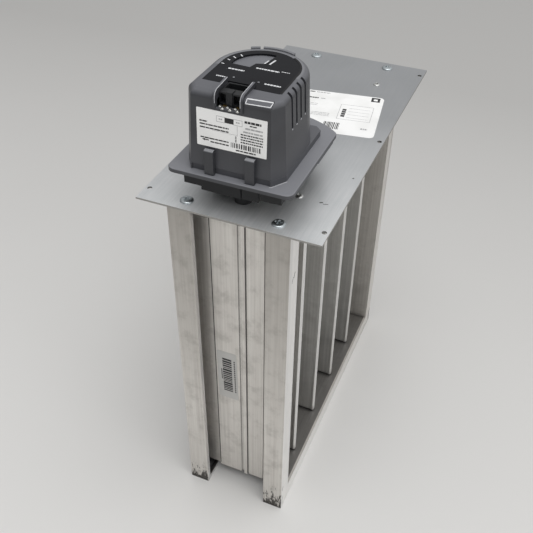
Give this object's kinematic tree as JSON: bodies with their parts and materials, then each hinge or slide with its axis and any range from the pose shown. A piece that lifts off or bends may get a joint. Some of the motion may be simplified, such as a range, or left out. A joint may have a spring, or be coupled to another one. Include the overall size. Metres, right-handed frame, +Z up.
{
  "type": "volume control damper",
  "caption": "Slide-in volume control damper: lipped aluminium frame with coupled parallel blades under a sheet mounting plate that carries a geared rotary actuator.",
  "frame": {"origin": "on the floor under the middle of the frame, at the foot of the part", "axes": "+X along the airflow and across the frame's depth, +Y along the mounting plate away from the actuator's wiring end, +Z up along the blade shafts"},
  "size_m": [0.1524, 0.3136, 0.4504],
  "materials": {
    "frame_aluminium": "mill finish, streaked",
    "blade_aluminium": "mill finish",
    "plate_steel": "satin galvanised sheet",
    "key_steel": "plain zinc",
    "zinc_steel": "bright zinc plate",
    "rivet_aluminium": "drawn",
    "shaft_steel": "drawn bar",
    "motor_steel": "plated can",
    "brass": "machined",
    "nylon": "moulded",
    "black_plastic": "moulded, fine grain",
    "flange_plastic": "moulded, fine grain",
    "cover_plastic": "moulded, fine grain",
    "panel_plastic": "satin film",
    "disc_plastic": "moulded",
    "gear_plastic": "natural acetal",
    "board_laminate": "coated glass laminate",
    "terminal_plastic": "moulded"
  },
  "bodies": {
    "frame": {"frame_top": "frame_aluminium", "frame_bottom": "frame_aluminium", "frame_near": "frame_aluminium", "frame_far": "frame_aluminium", "corner_keys": "key_steel", "mounting_plate": "plate_steel", "plate_screws": "zinc_steel", "plate_rivets": "rivet_aluminium", "upper_bushes": "nylon", "lower_bushes": "nylon", "stop_near": "blade_aluminium", "stop_far": "blade_aluminium", "actuator_bracket": "black_plastic", "locating_post": "black_plastic", "bracket_screws": "zinc_steel", "actuator_base": "flange_plastic", "idler_axle": "shaft_steel", "gear_plate": "zinc_steel", "motor": "motor_steel", "circuit_board": "board_laminate", "terminal_block": "terminal_plastic", "terminal_screws": "zinc_steel", "actuator_cover": "cover_plastic", "top_panel": "panel_plastic", "cover_latches": "cover_plastic"},
    "blade_body_1": {"blade_1": "blade_aluminium", "drive_shaft": "shaft_steel", "lower_pin_1": "shaft_steel", "crank_1": "zinc_steel", "output_hub": "gear_plastic", "indicator_disc": "disc_plastic"},
    "blade_body_2": {"blade_2": "blade_aluminium", "stub_shaft_2": "shaft_steel", "lower_pin_2": "shaft_steel", "crank_2": "zinc_steel"},
    "blade_body_3": {"blade_3": "blade_aluminium", "stub_shaft_3": "shaft_steel", "lower_pin_3": "shaft_steel", "crank_3": "zinc_steel"},
    "blade_body_4": {"blade_4": "blade_aluminium", "stub_shaft_4": "shaft_steel", "lower_pin_4": "shaft_steel", "crank_4": "zinc_steel"},
    "link": {"link_bar": "zinc_steel"},
    "idler": {"idler_gear": "gear_plastic"},
    "motor_rotor": {"motor_pinion": "brass"}
  },
  "joints": [
    {"name": "drive_turn", "type": "hinge", "parent": "frame", "child": "blade_body_1", "pos_m": [0, -0.0915, 0.1759], "axis": [0, 0, 1], "range_deg": [0, 84]},
    {"name": "blade_2_turn", "type": "hinge", "parent": "frame", "child": "blade_body_2", "pos_m": [0, -0.0333, 0.1759], "axis": [0, 0, 1], "range_deg": [0, 84]},
    {"name": "blade_3_turn", "type": "hinge", "parent": "frame", "child": "blade_body_3", "pos_m": [0, 0.0249, 0.1759], "axis": [0, 0, 1], "range_deg": [0, 84]},
    {"name": "blade_4_turn", "type": "hinge", "parent": "frame", "child": "blade_body_4", "pos_m": [0, 0.0831, 0.1759], "axis": [0, 0, 1], "range_deg": [0, 84]},
    {"name": "link_pivot", "type": "hinge", "parent": "blade_body_1", "child": "link", "pos_m": [0.01635, -0.10622, 0.3411], "axis": [0, 0, 1], "range_deg": [-84, 0]},
    {"name": "idler_turn", "type": "hinge", "parent": "frame", "child": "idler", "pos_m": [-0.0144, -0.11644, 0.392], "axis": [0, 0, 1], "range_deg": [-420.1, 0]},
    {"name": "motor_turn", "type": "hinge", "parent": "frame", "child": "motor_rotor", "pos_m": [0.00086, -0.11968, 0.3959], "axis": [0, 0, 1], "range_deg": [0, 1400.2]}
  ],
  "couplings": [
    {"joint": "blade_2_turn", "follows": "drive_turn", "ratio": 1},
    {"joint": "blade_3_turn", "follows": "drive_turn", "ratio": 1},
    {"joint": "blade_4_turn", "follows": "drive_turn", "ratio": 1},
    {"joint": "link_pivot", "follows": "drive_turn", "ratio": -1},
    {"joint": "idler_turn", "follows": "drive_turn", "ratio": -5},
    {"joint": "motor_turn", "follows": "drive_turn", "ratio": 16.667}
  ]
}
